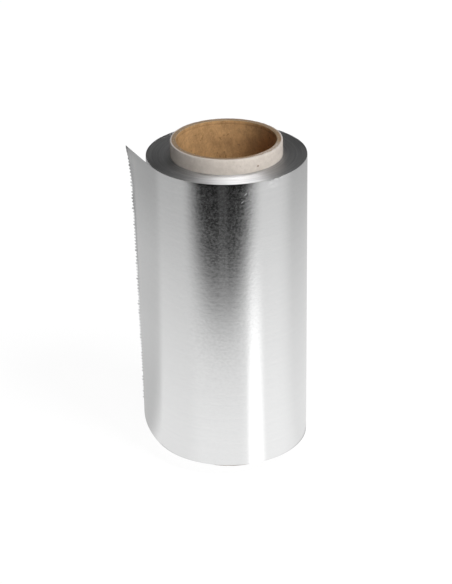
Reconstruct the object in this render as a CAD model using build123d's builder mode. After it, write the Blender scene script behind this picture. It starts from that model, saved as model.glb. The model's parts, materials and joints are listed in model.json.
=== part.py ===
"""Aluminium foil roll, standing on end.

A long web of thin foil is wound tight on a spiral paper core.
The core is longer than the web is wide, so a short stub of it stands out at each end.
The outermost turn leaves the roll as a free tail, torn off along a toothed cutter.

Frame: +Z up along the roll's axis, origin on the axis at the core's lower end.
The free tail leaves on the -X side and runs towards +Y.
"""

import os
from math import asin, degrees

from build123d import *

# Paper core, in millimetres
core_bore_radius = 19.25
core_wall = 2.35
core_stub = 6.0  # length of core standing out of the winding at each end
core_edge_chamfer = 0.4  # crushed outer corner of the cut ends

# Wound foil
foil_width = 120.0  # web width, along the axis
winding_depth = 9.55  # radial build-up of all turns on the core

# Free tail of the outermost turn
sheet_thickness = 0.25  # stands in for foil of about 0.015 mm
tail_turn = 117.0  # degrees about Z from +X to the direction in which the tail leaves
tail_reach = 23.8  # from the line where the tail leaves to the torn edge, at the web's upper edge
tear_slant = 13.9  # the tear runs at a slant, so the tail is longer by this at the web's lower edge
# Radius of the tail's curl at shares of the web's width, lower edge first.
# The upper corner has sprung almost straight.
tail_curls = ((0, 74), (0.4, 80), (0.75, 101), (0.9, 173), (1, 6000))

# Teeth that the cutter left in the tail's edge
tooth_pitch = 1.5
tooth_depth = 1.6
tooth_flare = 6.0  # degrees by which the teeth point outwards of the direction in which the tail leaves
fold_land = 0.2  # plain strip between the fold and the roots of the teeth

# Spiral line between bundles of turns, seen on both ends of the winding
turn_pitch = 1.3
turn_groove = 0.24  # side of the diamond that cuts the line
core_land = 0.3  # plain ring left between the core and the innermost line

# Sizes that follow from those above
core_radius = core_bore_radius + core_wall
roll_radius = core_radius + winding_depth  # over the outermost turn, where the tail leaves
core_length = foil_width + 2 * core_stub
web_plane = Plane.XY.offset(core_stub).rotated((0, 0, tail_turn))  # the tail leaves along its x
edge_plane = Plane(web_plane.origin, x_dir=web_plane.x_dir, z_dir=-web_plane.y_dir)

# Paper core: a plain tube, the outer corners of its cut ends crushed a little by the saw
with BuildPart() as core_tube:
    with BuildSketch():
        Circle(core_radius)
        Circle(core_bore_radius, mode=Mode.SUBTRACT)
    extrude(amount=core_length)
    ends = core_tube.faces().filter_by(Axis.Z)
    chamfer(ends.edges().filter_by(lambda rim: rim.radius > core_bore_radius), core_edge_chamfer)


def tear_line(share):
    """How far the roots of the teeth lie from the line where the tail leaves, at a share of the width."""
    return tail_reach + tear_slant * (1 - share)


# Free tail: a thin curled sheet, its edge bent back straight by the cutter and torn into teeth
with BuildPart() as tail:
    for share, curl in tail_curls:
        with BuildSketch(web_plane.offset(share * foil_width)):
            with BuildLine():
                bend = degrees(asin((tear_line(share) - fold_land) / curl))
                outside = CenterArc((0, roll_radius - curl), curl, 90, -bend)
                inside = CenterArc((0, roll_radius - curl), curl - sheet_thickness, 90, -bend)
                outside_strip = PolarLine(outside @ 1, 2 * tooth_depth, tooth_flare)
                inside_strip = PolarLine(inside @ 1, 2 * tooth_depth, tooth_flare)
                Line(outside @ 0, inside @ 0)
                Line(outside_strip @ 1, inside_strip @ 1)
            make_face()
    loft()
    with BuildSketch(edge_plane):
        with BuildLine():
            teeth = round(foil_width / tooth_pitch)
            pitch = foil_width / teeth
            edge = [(tear_line(0), 0)]
            for tooth in range(teeth):
                edge.append((tear_line((tooth + 0.5) / teeth) + tooth_depth, (tooth + 0.5) * pitch))
                edge.append((tear_line((tooth + 1) / teeth), (tooth + 1) * pitch))
            Polyline((0, 0), *edge, (0, foil_width), close=True)
        make_face()
    extrude(amount=-2 * roll_radius, mode=Mode.INTERSECT)

# Spiral line on the upper end, from under the root of the tail inwards in half turns
with BuildPart() as turn_line:
    with BuildLine(web_plane.offset(foil_width)):
        start = roll_radius - sheet_thickness - turn_pitch / 2
        half_turns = int((start - core_radius - core_land) / (turn_pitch / 2))
        for turn in range(half_turns):
            side = 1 - 2 * (turn % 2)
            radius = start - (turn + 0.5) * turn_pitch / 2
            CenterArc((0, side * turn_pitch / 4), radius, 90 * side, 180)
    spiral = turn_line.pending_edges_as_wire
    with BuildSketch(Plane(spiral @ 0, z_dir=spiral % 0)):
        Rectangle(turn_groove, turn_groove, rotation=45)
    sweep()

# Wound foil: all turns as one solid, which loses one sheet thickness over the outermost turn
with BuildPart() as foil_roll:
    with BuildSketch(web_plane):
        with BuildLine():
            first_half = CenterArc((0, sheet_thickness / 4), roll_radius - sheet_thickness / 4, 90, 180)
            second_half = CenterArc((0, -sheet_thickness / 4), roll_radius - 0.75 * sheet_thickness, 270, 180)
            Line(second_half @ 1, first_half @ 0)
        make_face()
        Circle(core_radius, mode=Mode.SUBTRACT)
    extrude(amount=foil_width)
    add(tail.part)
    add(turn_line.part, mode=Mode.SUBTRACT)
    add(turn_line.part.mirror(web_plane.offset(foil_width / 2)), mode=Mode.SUBTRACT)

core_tube.part.label = "core_tube"
foil_roll.part.label = "foil_roll"

os.makedirs("parts", exist_ok=True)
export_step(core_tube.part, "parts/core_tube.step")
export_step(foil_roll.part, "parts/foil_roll.step")
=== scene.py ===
# A roll of aluminium foil standing on end: a long web of thin foil wound on a paper core,
# its last turn coming away as a free tail with a toothed cut edge.
import json
import math
import random

import bmesh
import bpy
from mathutils import Matrix, Vector, noise


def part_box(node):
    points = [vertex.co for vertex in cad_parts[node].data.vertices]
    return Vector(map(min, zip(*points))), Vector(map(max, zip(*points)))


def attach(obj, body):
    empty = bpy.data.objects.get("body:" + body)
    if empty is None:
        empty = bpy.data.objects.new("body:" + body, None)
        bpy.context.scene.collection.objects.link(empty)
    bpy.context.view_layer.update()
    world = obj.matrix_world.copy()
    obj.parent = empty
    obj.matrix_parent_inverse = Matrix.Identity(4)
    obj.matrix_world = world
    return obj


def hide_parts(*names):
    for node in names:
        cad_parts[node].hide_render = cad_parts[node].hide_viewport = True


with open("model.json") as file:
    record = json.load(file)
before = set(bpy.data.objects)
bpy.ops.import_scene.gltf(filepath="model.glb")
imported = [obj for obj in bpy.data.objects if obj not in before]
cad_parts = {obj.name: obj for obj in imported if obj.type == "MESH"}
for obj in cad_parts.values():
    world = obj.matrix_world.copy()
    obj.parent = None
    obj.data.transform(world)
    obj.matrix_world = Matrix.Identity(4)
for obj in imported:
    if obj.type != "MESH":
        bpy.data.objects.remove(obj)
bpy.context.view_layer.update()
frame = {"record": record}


# Paper core
# A tube of board strips wound in a spiral and glued: pale paper outside, brown kraft lining inside.
# It is sawn to length, so each end shows the edges of its plies, a little crushed and fibrous.
core_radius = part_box("core_tube")[1].x
core_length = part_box("core_tube")[1].z
core_bore = frame["record"]["mounts"][0]["dims"]["r_mm"] / 1000
core_plies = 5
core_corner = 0.0004  # crushed outer corner of the cut ends
lining_corner = 0.00015  # the lining's own turned-in edge
knife_line = 0.0014  # depth below each end of the ring that the knife pressed into the lining
knife_reach = 0.0002  # half the width of that ring
knife_groove = 0.00004
fray_angle = math.radians(-35)  # where the saw left the rim most fibrous
fray_zone = 0.0006  # distance from each end within which the saw frayed the board
fray_depth = 0.00009
fray_spread = 0.0007  # share of its radius by which a frayed corner moves in or out
full_turn = 2 * math.pi


def ring_body(outline, start, steps):
    """A closed ring: an outline of (radius, height) points spun once round the axis."""
    shape = bmesh.new()
    corners = [shape.verts.new((r * math.cos(start), r * math.sin(start), z)) for r, z in outline]
    edges = [shape.edges.new(pair) for pair in zip(corners, corners[1:] + corners[:1])]
    bmesh.ops.spin(
        shape,
        geom=corners + edges,
        cent=(0, 0, 0),
        axis=(0, 0, 1),
        angle=full_turn,
        steps=steps,
        use_merge=True,
    )
    bmesh.ops.recalc_face_normals(shape, faces=shape.faces)
    return shape


def finished(name, shape, finishes):
    """Turns a shape into an object of the scene with its finishes, smooth except at sharp corners."""
    mesh = bpy.data.meshes.new(name)
    shape.to_mesh(mesh)
    shape.free()
    for finish in finishes:
        mesh.materials.append(finish)
    mesh.shade_smooth()
    mesh.set_sharp_from_angle(angle=math.radians(38))
    piece = bpy.data.objects.new(name, mesh)
    bpy.context.scene.collection.objects.link(piece)
    return piece


class Shade:
    """A socket in a finish's node tree; arithmetic on it adds Math nodes to that tree."""

    def __init__(self, tree, socket=None):
        self.tree = tree
        self.socket = socket

    def node(self, kind, settings, sockets, output=0):
        """Adds a node: its settings first, then the values or links of its sockets."""
        made = self.tree.nodes.new(kind)
        for name, setting in settings.items():
            setattr(made, name, setting)
        for name, value in sockets.items():
            if isinstance(value, Shade):
                self.tree.links.new(value.socket, made.inputs[name])
            else:
                made.inputs[name].default_value = value
        return Shade(self.tree, made.outputs[output] if made.outputs else None)

    def maths(self, operation, first, second=0.0):
        return self.node("ShaderNodeMath", {"operation": operation}, {0: first, 1: second})

    def __add__(self, other):
        return self.maths("ADD", self, other)

    def __sub__(self, other):
        return self.maths("SUBTRACT", self, other)

    def __rsub__(self, other):
        return self.maths("SUBTRACT", other, self)

    def __mul__(self, other):
        return self.maths("MULTIPLY", self, other)

    def __truediv__(self, other):
        return self.maths("DIVIDE", self, other)

    __radd__ = __add__
    __rmul__ = __mul__

    def place(self):
        """The piece's own coordinates, in metres."""
        return self.node("ShaderNodeTexCoord", {}, {}, "Object")

    def along(self, axis):
        """One coordinate of a vector."""
        return self.node("ShaderNodeSeparateXYZ", {}, {"Vector": self}, axis)

    def scaled(self, x, y, z):
        """These coordinates, each times a factor."""
        return self.node("ShaderNodeMapping", {"vector_type": "POINT"}, {"Vector": self, "Scale": (x, y, z)})

    def from_axis(self):
        """Distance of these coordinates from the roll's axis."""
        flat = self.scaled(1, 1, 0)
        return self.node("ShaderNodeVectorMath", {"operation": "LENGTH"}, {0: flat}, "Value")

    def from_point(self, point):
        """Distance of these coordinates from a point."""
        return self.node("ShaderNodeVectorMath", {"operation": "DISTANCE"}, {0: self, 1: point}, "Value")

    def bearing(self):
        """Angle of these coordinates round the roll's axis, from +X."""
        return self.maths("ARCTAN2", self.along("Y"), self.along("X"))

    def mottle(self, scale, detail=2.0, rough=0.5):
        """Cloudy noise from 0 to 1 over these coordinates."""
        return self.node(
            "ShaderNodeTexNoise", {}, {"Vector": self, "Scale": scale, "Detail": detail, "Roughness": rough}
        )

    def ramp(self, low, high):
        """0 below low, 1 above high, straight between."""
        return self.node("ShaderNodeMapRange", {}, {"Value": self, "From Min": low, "From Max": high})

    def ease(self, low, high):
        """0 below low, 1 above high, smooth between."""
        return self.node(
            "ShaderNodeMapRange",
            {"interpolation_type": "SMOOTHSTEP"},
            {"Value": self, "From Min": low, "From Max": high},
        )

    def band(self, rise, full, fall, end):
        """0 below rise, 1 from full to fall, 0 above end, smooth between."""
        return self.ease(rise, full) * (1 - self.ease(fall, end))

    def tint(self, first, second):
        """A colour from first to second by this value."""
        return self.node("ShaderNodeMix", {"data_type": "RGBA"}, {0: self, 6: first, 7: second}, 2)

    def relief(self, distance, strength=1.0):
        """A surface normal with this value as its height."""
        return self.node("ShaderNodeBump", {}, {"Height": self, "Distance": distance, "Strength": strength})

    def in_sight(self):
        """1 for a ray from the camera, a mirror or glass, 0 for one that only carries light."""
        camera = self.node("ShaderNodeLightPath", {}, {}, "Is Camera Ray")
        mirror = self.node("ShaderNodeLightPath", {}, {}, "Is Glossy Ray")
        glass = self.node("ShaderNodeLightPath", {}, {}, "Is Transmission Ray")
        return self.maths("MINIMUM", camera + mirror + glass, 1.0)


def new_finish(name):
    """An empty material and the start of its node tree."""
    finish = bpy.data.materials.new(name)
    finish.use_nodes = True
    finish.node_tree.nodes.clear()
    return finish, Shade(finish.node_tree)


def surface(shade, sockets):
    """Ends a finish in a Principled surface with these socket values."""
    skin = shade.node("ShaderNodeBsdfPrincipled", {}, sockets)
    shade.node("ShaderNodeOutputMaterial", {}, {"Surface": skin})


def core_end():
    """Half-section of one end of the core, from the bore over the rim: radius and depth below the end."""
    ply = (core_radius - core_bore - core_corner - lining_corner) / core_plies
    section = [
        (core_bore, knife_line + knife_reach),
        (core_bore + knife_groove, knife_line),
        (core_bore, knife_line - knife_reach),
        (core_bore, 0.0009),
        (core_bore, 0.0005),
        (core_bore + 0.00005, lining_corner),
    ]
    for n in range(core_plies):
        inner = core_bore + lining_corner + n * ply
        section += [(inner, 0.00007), (inner + 0.3 * ply, 0.0), (inner + 0.7 * ply, 0.00001)]
    section += [(core_radius - core_corner, 0.00003), (core_radius - 0.3 * core_corner, 0.00012)]
    return section + [(core_radius, core_corner), (core_radius, 0.0012), (core_radius, 0.0055)]


upper_section = [(reach, core_length - depth) for reach, depth in core_end()]
core_shape = ring_body(upper_section + core_end()[::-1], 0.0, 360)
for corner in core_shape.verts:
    to_end = min(corner.co.z, core_length - corner.co.z)
    if to_end < fray_zone:
        turn = math.atan2(corner.co.y, corner.co.x)
        fray = 1 + 1.4 * max(0.0, math.cos(turn - fray_angle)) ** 10
        spot = Vector((corner.co.x, corner.co.y, 0))
        bite = max(0.0, noise.noise(spot * 520) + 0.5 * noise.noise(spot * 1500))
        inward = -1 if corner.co.z > core_length / 2 else 1
        corner.co.z += inward * fray_depth * fray * bite
        corner.co.xy *= 1 + fray_spread * fray * noise.noise(spot * 700 + Vector((0, 0, 7)))
for face in core_shape.faces:
    middle = face.calc_center_median()
    reach = middle.xy.length
    to_end = min(middle.z, core_length - middle.z)
    if to_end < 0.0003 and core_bore + 0.00006 < reach < core_radius - 0.3 * core_corner:
        face.material_index = 1
    elif reach < (core_bore + core_radius) / 2:
        face.material_index = 2

outer_ply, shade = new_finish("outer_ply")
place = shade.place()
fibres = place.mottle(2600.0, 3.0, 0.65)
clouds = place.mottle(160.0)
pulp_spots = place.mottle(520.0, 3.0, 0.6)
flecks = place.mottle(640.0, 1.0).ease(0.80, 0.83)
stain = 1 - place.from_point((0.01175, -0.01812, 0.12804)).ease(0.0002, 0.0006)
marks = shade.maths("MAXIMUM", flecks, stain)
paper = (clouds * 0.3 + pulp_spots * 0.45 + fibres * 0.25).ease(0.3, 0.7)
paper = paper.tint((0.555, 0.497, 0.443, 1), (0.69, 0.628, 0.565, 1))
surface(
    shade,
    {
        "Base Color": (marks * 0.8).tint(paper, (0.20, 0.13, 0.09, 1)),
        "Roughness": 0.86,
        "Specular IOR Level": 0.25,
        "Normal": (fibres + pulp_spots * 1.2 + clouds * 0.5).relief(0.00006, 0.8),
    },
)

cut_plies, shade = new_finish("cut_plies")
place = shade.place()
fibres = place.mottle(1900.0, 4.0, 0.7)
reach = place.from_axis()
ply_turn = (reach - core_bore) * (full_turn * core_plies / (core_radius - core_bore))
ply_wave = shade.maths("SINE", ply_turn) * 0.5 + 0.5
pale_side = reach.ease(core_radius - 0.0009, core_radius - 0.0004)
frayed = shade.maths("COSINE", place.bearing() - fray_angle).ease(0.86, 0.99)
pale_wisps = fibres.ease(0.55, 0.68) * 0.5 + fibres.ease(0.38, 0.60) * frayed * 0.6
pulp = (ply_wave * 0.4 + fibres * 0.6).tint((0.21, 0.135, 0.076, 1), (0.46, 0.335, 0.215, 1))
surface(
    shade,
    {
        "Base Color": shade.maths("MAXIMUM", pale_side, pale_wisps).tint(pulp, (0.66, 0.60, 0.56, 1)),
        "Roughness": 0.92,
        "Specular IOR Level": 0.2,
        "Normal": fibres.relief(0.00015, 0.9),
    },
)

kraft_lining, shade = new_finish("kraft_lining")
place = shade.place()
fibres = place.scaled(1, 1, 0.6).mottle(1700.0, 3.0, 0.65)
blotches = place.mottle(230.0, 4.0, 0.6)
specks = place.mottle(700.0, 1.0).ease(0.66, 0.74)
seam_pitch = 0.052  # climb of the lining's strip in one turn
seam_start = 9.63  # in turns
climb = place.along("Z") + place.bearing() * (seam_pitch / full_turn)
seam_turn = shade.maths("FRACT", climb / seam_pitch + seam_start)
seam_gap = shade.maths("ABSOLUTE", seam_turn - 0.5) * seam_pitch
seam = 1 - seam_gap.ease(0.0001, 0.0005)
from_middle = shade.maths("ABSOLUTE", place.along("Z") - core_length / 2)
knife_gap = shade.maths("ABSOLUTE", core_length / 2 - knife_line - from_middle)
scored = 1 - knife_gap.ease(0.00012, 0.0004)
dark_marks = shade.maths("MAXIMUM", scored * 0.2, specks * 0.45 + seam * 0.12)
brown = (blotches * 0.6 + fibres * 0.4).ease(0.25, 0.75)
brown = brown.tint((0.36, 0.213, 0.096, 1), (0.66, 0.40, 0.186, 1))
surface(
    shade,
    {
        "Base Color": dark_marks.tint(brown, (0.15, 0.075, 0.028, 1)),
        "Roughness": 0.8,
        "Specular IOR Level": 0.3,
        "Normal": (fibres + blotches * 0.6 - seam * 0.5).relief(0.00008, 0.8),
    },
)

core = finished("paper_core", core_shape, [outer_ply, cut_plies, kraft_lining])
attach(core, "root")
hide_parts("core_tube")


# Wound foil
# Some six hundred turns of foil packed tight on the core; their edges make the two ends of the roll.
# The edges never line up quite, so the ends are dark, finely ringed and brushed round the axis.
foil_low, foil_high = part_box("foil_roll")
foil_base = foil_low.z
foil_top = foil_high.z
foil_width = foil_top - foil_base
roll_radius = 0.03106
foil_sheet = 0.0001  # the outermost turn starts one sheet nearer to the axis than it ends
tail_direction = math.radians(117)  # heading in which the free tail leaves, from +X
tail_root = tail_direction + math.pi / 2  # where on the roll it leaves
ring_step = 0.00026  # width of one bundle of turns
ring_carry = 0.72  # share of its height that a bundle takes over from the one inside it
ring_depth = 0.0001  # between the highest and the lowest bundle


def wound_radius(turn):
    """Radius of the outer face of the last turn, at an angle counted back from where the tail leaves."""
    return roll_radius - foil_sheet * turn / full_turn


def ring_mottle(reach, drift, scale):
    """Noise in rings round the axis that changes slowly along each ring."""
    rings = {"X": reach * scale, "Y": drift.along("X"), "Z": drift.along("Y")}
    return reach.node("ShaderNodeCombineXYZ", {}, rings).mottle(1.0)


winder = random.Random(5)
winding_depth = roll_radius - core_radius
bundles = [0.0]
for bundle in range(round(winding_depth / ring_step)):
    bundles.append(ring_carry * bundles[-1] + winder.uniform(-1, 1))
lowest = min(bundles)
spread = max(bundles) - lowest
ring_heights = [ring_depth * (bundle - lowest) / spread for bundle in bundles]
ring_radii = [core_radius + winding_depth * n / (len(bundles) - 1) for n in range(len(bundles))]
upper_section = [(r, foil_top - h) for r, h in zip(ring_radii, ring_heights)]
lower_section = [(r, foil_base + h) for r, h in zip(reversed(ring_radii), reversed(ring_heights))]
winding_shape = ring_body(upper_section + lower_section, tail_root, 288)
for corner in winding_shape.verts:
    turn = (math.atan2(corner.co.y, corner.co.x) - tail_root + 1e-6) % full_turn
    reach = corner.co.xy.length
    depth = (reach - core_radius) / winding_depth
    corner.co.xy *= (reach - depth * (roll_radius - wound_radius(turn) + foil_sheet)) / reach

foil_edges, shade = new_finish("foil_edges")
place = shade.place()
reach = place.from_axis()
drift = place.scaled(45, 45, 0)
fine_rings = ring_mottle(reach, drift, 9000.0)
coarse_rings = ring_mottle(reach, drift, 1500.0)
grey = (fine_rings * 0.5 + coarse_rings * 0.5).ease(0.3, 0.7)
surface(
    shade,
    {
        "Base Color": grey.tint((0.58, 0.58, 0.59, 1), (0.83, 0.83, 0.83, 1)),
        "Metallic": 1.0,
        "Roughness": 0.38 + 0.10 * coarse_rings,
        "Anisotropic": 0.97,
        "Anisotropic Rotation": 0.25,
        "Normal": (fine_rings + coarse_rings).relief(0.00002, 0.5),
    },
)

winding = finished("foil_winding", winding_shape, [foil_edges])
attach(winding, "root")
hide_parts("foil_roll")


# Outermost turn and free tail
# The end of the web: once round the roll, then away from it in a springy curl, sprung open at the top.
# It was torn off at a slant over a toothed cutter, from a drawn-out upper corner down, which left its
# edge in small uneven points bent outwards.
tail_reach = 0.0238  # to the torn edge, at the web's upper edge
tear_slant = 0.0139  # the tail is longer by this at the lower edge
tear_wander = 0.0006
corner_start = 0.93  # share of the width above which the tear is smooth and drawn out
corner_draw = 0.0022  # by which the upper corner is drawn out
tail_curvature = 14.2  # one over the curl's radius in metres, at the lower edge
least_curvature = 1.5  # at the sprung upper corner
tail_flutter = 0.00022
tooth_depth = 0.0016
tooth_flare = math.radians(32)  # how far the teeth point outwards of the heading
teeth = 80
tuck = 0.002  # how far the turn runs on under itself
web_start = -(full_turn * roll_radius + tuck)
web_end = tail_reach + tear_slant
edge_roll = 0.0011  # width of the rolled-in edges of the web
edge_sink = 0.00007  # by which they are rolled in
nicks = (math.radians(97), math.radians(188), math.radians(290))  # small knocks in the upper edge
nick_reach = 0.16  # half the width of a knock, in radians
nick_height = 0.0015
nick_push = 0.0009
nick_drop = 0.0018

web = bmesh.new()
bmesh.ops.create_grid(web, x_segments=320, y_segments=teeth, size=0.5)
for corner in web.verts:
    corner.co.x = web_start + (corner.co.x + 0.5) * (web_end - web_start)
    corner.co.y = (corner.co.y + 0.5) * foil_width
for edge in [edge for edge in web.edges if all(end.co.x > web_end - 1e-6 for end in edge.verts)]:
    foot, head = sorted(edge.verts, key=lambda end: end.co.y)
    tip = web.verts.new((web_end + tooth_depth, (foot.co.y + head.co.y) / 2, 0))
    web.faces.new((foot, tip, head))
for inset in (0.0003, 0.0008):
    for cut in (inset, foil_width - inset):
        whole = web.verts[:] + web.edges[:] + web.faces[:]
        bmesh.ops.bisect_plane(web, geom=whole, dist=1e-7, plane_co=(0, cut, 0), plane_no=(0, 1, 0))

heading = Vector((math.cos(tail_direction), math.sin(tail_direction)))
outward = Vector((-math.sin(tail_direction), math.cos(tail_direction)))
for corner in web.verts:
    length, height = corner.co.x, corner.co.y
    to_edge = min(height, foil_width - height)
    rolled_in = edge_sink * max(0.0, 1 - to_edge / edge_roll) ** 2
    if length <= 0:
        turn = -length / roll_radius
        reach = wound_radius(turn) - rolled_in
        for nick in nicks:
            knock = max(0.0, 1 - abs(turn - nick) / nick_reach)
            knock *= max(0.0, 1 - (foil_width - height) / nick_height)
            reach += nick_push * knock * noise.noise(Vector((turn * 30, 0, 1)))
            height -= nick_drop * knock * abs(noise.noise(Vector((turn * 24, 0, 4))))
        along = -reach * math.sin(turn)
        out = reach * math.cos(turn)
    else:
        share = height / foil_width
        curl = max(least_curvature, tail_curvature * (1 - 0.42 * share**2 - 0.58 * share**10))
        drawn = max(0.0, (share - corner_start) / (1 - corner_start))
        torn = tail_reach + tear_slant * (1 - share) + corner_draw * drawn**2
        torn += tear_wander * noise.noise(Vector((height * 130, 0, 8)))
        run = min(1.0, length / web_end)
        bend = run * math.asin(torn * curl)
        along = math.sin(bend) / curl
        out = roll_radius - (1 - math.cos(bend)) / curl
        out += tail_flutter * noise.noise(Vector((height * 55, length * 40, 3))) * run**2
        strength = 0.70 - 0.26 * share + 0.5 * noise.noise(Vector((height * 430, 0, 5)))
        tooth = max(0.0, length - web_end) * max(0.1, strength) * max(0.1, 1 - 1.3 * drawn)
        flare = tooth_flare + 0.25 * noise.noise(Vector((height * 900, 0, 5)))
        along += tooth * math.cos(flare)
        out += tooth * math.sin(flare)
    corner.co = (along * heading + out * outward).to_3d() + Vector((0, 0, foil_base + height))
bmesh.ops.reverse_faces(web, faces=web.faces[:])
bmesh.ops.solidify(web, geom=web.faces[:], thickness=foil_sheet)

rolled_foil, shade = new_finish("rolled_foil")
place = shade.place()
hairlines = place.scaled(420, 420, 3600).mottle(1.0, 2.0, 0.6)
grain = place.scaled(800, 800, 700).mottle(1.0, 1.0, 0.4)
specks = place.scaled(1000, 1000, 1300).mottle(1.0, 1.0, 0.4).ease(0.3, 0.7)
streaks = place.scaled(50, 50, 800).mottle(1.0)
waves = place.scaled(60, 60, 45).mottle(1.0, 1.0)
side_knock = 1 - place.from_point((0.0078, -0.0301, 0.1194)).ease(0.002, 0.005)
dents = place.scaled(620, 620, 700).mottle(1.0, 1.0).ease(0.60, 0.72) * side_knock
rim_knock = 1 - place.from_point((0.0174, -0.0256, 0.1259)).ease(0.0012, 0.0038)
crinkles = place.scaled(800, 800, 900).mottle(1.0, 1.0) * rim_knock
upright = (place.along("Z") - foil_base) / foil_width
ahead = place.along("X") * heading.x + place.along("Y") * heading.y
past_tear = ahead + upright * tear_slant - (tail_reach + tear_slant)
off_roll = place.from_axis().ease(0.033, 0.035)
torn_strip = past_tear.ease(-0.007, -0.002) * off_roll
# Painted shade: the base colour darkens to grey at the torn points, standing in for the shade and dark
# reflections of the bent teeth.
painted_tip_shade = past_tear.ease(-0.0002, 0.0008) * off_roll
bright = (streaks * 0.5 + hairlines * 0.5).tint((0.86, 0.865, 0.87, 1), (0.95, 0.95, 0.945, 1))
relief = grain * 0.65 + streaks * 0.3 + waves * 2.0 - dents + crinkles * 12.0
surface(
    shade,
    {
        "Base Color": painted_tip_shade.tint(bright, (0.40, 0.40, 0.40, 1)),
        "Metallic": 1.0,
        "Roughness": 0.115 + 0.03 * streaks + 0.055 * specks + 0.20 * torn_strip,
        "Anisotropic": 0.8,
        "Anisotropic Rotation": 0.25,
        "Normal": relief.relief(0.00002),
    },
)

last_turn = finished("foil_last_turn", web, [rolled_foil])
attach(last_turn, "root")
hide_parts("foil_roll")


# Table
# A white sweep that the roll stands on. It shows as plain white and keeps a faint shadow.
table = bmesh.new()
bmesh.ops.create_circle(table, cap_ends=True, segments=96, radius=6.0)
white_table, shade = new_finish("white_table")
matt = shade.node("ShaderNodeBsdfDiffuse", {}, {"Color": (0.9, 0.9, 0.9, 1)})
white = shade.node("ShaderNodeEmission", {}, {"Color": (1, 1, 1, 1), "Strength": 1.1})
skin = shade.node("ShaderNodeMixShader", {}, {0: shade.in_sight() * 0.86, 1: matt, 2: white})
shade.node("ShaderNodeOutputMaterial", {}, {"Surface": skin})
finished("table", table, [white_table])


# Light tent
# A table card, a round wall and a roof that only reflections see, so that the foil has a studio to mirror.
# They are pale at the sides and dark behind and in the opening in front where the camera stands, with a
# bright strip on the table beside that opening and two soft boxes in the roof, before and behind the roll.
tent_radius = 1.0
tent_height = 0.95
card_start = 0.0318  # radius of the hole in the table card that the roll stands in


def front_turn(place):
    """Angle round the roll from the front, positive to the right."""
    return place.maths("ARCTAN2", place.along("X"), (place.along("Y") + roll_radius / 2) * -1.0)


def facing(turn, angle):
    """1 where an angle from the front in degrees is met, falling to -1 on the other side."""
    return turn.maths("COSINE", turn - math.radians(angle))


def opening(angle):
    """The opening in front, by the angle from the front in degrees."""
    return angle.band(-66.0, -38.0, 22.0, 50.0)


def curtain_gap(angle):
    """A slit in the dark of the opening that lets in a little light."""
    return angle.band(-15.0, -11.0, -2.0, 2.0)


def table_glow(place):
    """Pale near the roll and darker away, with the strip, a left band, the camera's shadow and a painted
    shadow at its foot.
    """
    turn = front_turn(place)
    angle = turn * (180 / math.pi)
    reach = place.from_axis()
    right = facing(turn, 60).ease(0.68, 1.0)
    strip = angle.band(23.0, 36.0, 39.0, 55.0) * (1 - reach.ease(0.13, 0.29))
    near = 0.81 + 0.12 * right + 0.06 * opening(angle) + 0.54 * strip
    far = 0.43 + 0.19 * right
    away = reach.ramp(0.06, 0.30)
    fading = away * (0.6 + 0.4 * away)
    left_band = facing(turn, -140).ease(0.83, 0.98)
    band_depth = 0.165 + 0.12 * (1 - reach.ease(0.055, 0.14)) - 0.08 * reach.ease(0.14, 0.22)
    level = near * (1 - fading) + far * fading - left_band * band_depth
    wide = reach.ramp(0.166, 0.283)
    shadow = angle.band(wide * -8.0 - 60.0, wide * -30.0 - 6.0, wide * 30.0 - 9.0, wide * 26.0 + 27.0)
    shadow = shadow * reach.ease(0.122, 0.246) * (0.99 - 0.06 * curtain_gap(angle))
    # Painted shadow: a thin dark ring round the roll's foot, which the foil's lower edge mirrors as a dark
    # line.
    painted_foot_shadow = 0.45 + 0.55 * reach.ease(0.0325, 0.0375)
    return level * (1 - shadow) * painted_foot_shadow


def wall_glow(place):
    """Pale at the sides, a little brighter at the right, darker behind, dark in the opening."""
    turn = front_turn(place)
    angle = turn * (180 / math.pi)
    right = facing(turn, 60).ease(0.68, 1.0)
    behind = facing(turn, 180).ease(0.0, 0.7)
    left_back = facing(turn, -140).ease(0.85, 0.97)
    pale = (0.45 + 0.15 * right) * (1 - 0.75 * behind) * (1 - 0.65 * left_back)
    return pale * (1 - opening(angle) * (0.98 - 0.05 * curtain_gap(angle)))


def roof_glow(place):
    """Dark, with a soft box before the roll and another behind it."""
    depth = place.maths("ABSOLUTE", place.along("Y"))
    soft_box = place.along("X").band(-0.47, 0.27, 0.29, 0.37) * depth.band(0.1, 0.2, 0.42, 0.52)
    return 0.02 + 6.3 * soft_box


def tent_card(name, glow, radii, heights):
    """A ring that only reflections see, as bright as a function of its place says."""
    finish, shade = new_finish(name)
    lamp = shade.node("ShaderNodeEmission", {}, {"Color": glow(shade.place())})
    shade.node("ShaderNodeOutputMaterial", {}, {"Surface": lamp})
    (inner, outer), (low, high) = radii, heights
    outline = [(inner, low), (outer, low), (outer, high), (inner, high)]
    card = finished(name, ring_body(outline, 0.0, 96), [finish])
    card.visible_camera = False
    card.visible_diffuse = False
    card.visible_shadow = False
    card.visible_transmission = False


tent_card("tent_table", table_glow, (card_start, tent_radius), (0.0001, 0.0002))
tent_card("tent_wall", wall_glow, (tent_radius, 1.01 * tent_radius), (0.0, tent_height))
tent_card("tent_roof", roof_glow, (0.0001, tent_radius), (tent_height, tent_height + 0.01))


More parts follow.
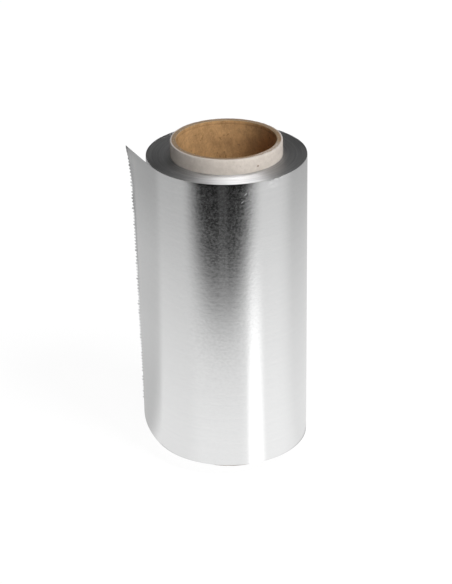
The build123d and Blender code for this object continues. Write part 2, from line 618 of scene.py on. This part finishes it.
# Light
# Three soft lamps for the paper core and the table: one high on the right in front, a low one in front
# and a weak low one behind. The foil doesn't mirror them. The surround shows as plain white and gives
# little light.
def soft_lamp(name, place, size, power):
    """A square lamp aimed at the roll's middle."""
    lamp = bpy.data.lights.new(name, "AREA")
    lamp.shape = "SQUARE"
    lamp.size = size
    lamp.energy = power
    stand = bpy.data.objects.new(name, lamp)
    stand.location = place
    stand.rotation_euler = (Vector((0, 0, 0.08)) - Vector(place)).to_track_quat("-Z", "Y").to_euler()
    stand.visible_glossy = False
    bpy.context.scene.collection.objects.link(stand)


soft_lamp("key_lamp", (0.478, -0.430, 0.896), size=0.35, power=8.0)
soft_lamp("front_lamp", (0.239, -0.958, 0.24), size=0.4, power=3.45)
soft_lamp("back_lamp", (0.2, 0.9, 0.3), size=0.4, power=2.5)

surround = bpy.data.worlds.new("surround")
surround.use_nodes = True
surround.node_tree.nodes.clear()
shade = Shade(surround.node_tree)
sky_colour = shade.in_sight().tint((0.03, 0.03, 0.03, 1), (1, 1, 1, 1))
sky = shade.node("ShaderNodeBackground", {}, {"Color": sky_colour})
shade.node("ShaderNodeOutputWorld", {}, {"Surface": sky})
bpy.context.scene.world = surround


# Camera
# In front of the roll and above it, looking down at its middle, with a long lens.
view_height = math.radians(25.977)
view_distance = 0.845
view_tilt = math.radians(-0.731)  # the picture is turned by this
roll_middle = (foil_base + foil_top) / 2
camera = bpy.data.cameras.new("camera")
camera.lens = 131.89
camera.sensor_width = 36.0
camera.shift_x = -0.00387
camera.shift_y = 0.00356
camera.clip_start = 0.01
tripod = bpy.data.objects.new("camera", camera)
tripod.location = (
    0,
    -view_distance * math.cos(view_height),
    roll_middle + view_distance * math.sin(view_height),
)
tripod.rotation_mode = "XYZ"
look = Vector((0, 0, roll_middle)) - tripod.location
aim = look.to_track_quat("-Z", "Y").to_matrix().to_4x4()
tripod.rotation_euler = (aim @ Matrix.Rotation(view_tilt, 4, "Z")).to_euler()
bpy.context.scene.collection.objects.link(tripod)
bpy.context.scene.camera = tripod
bpy.context.scene.view_settings.view_transform = "Standard"
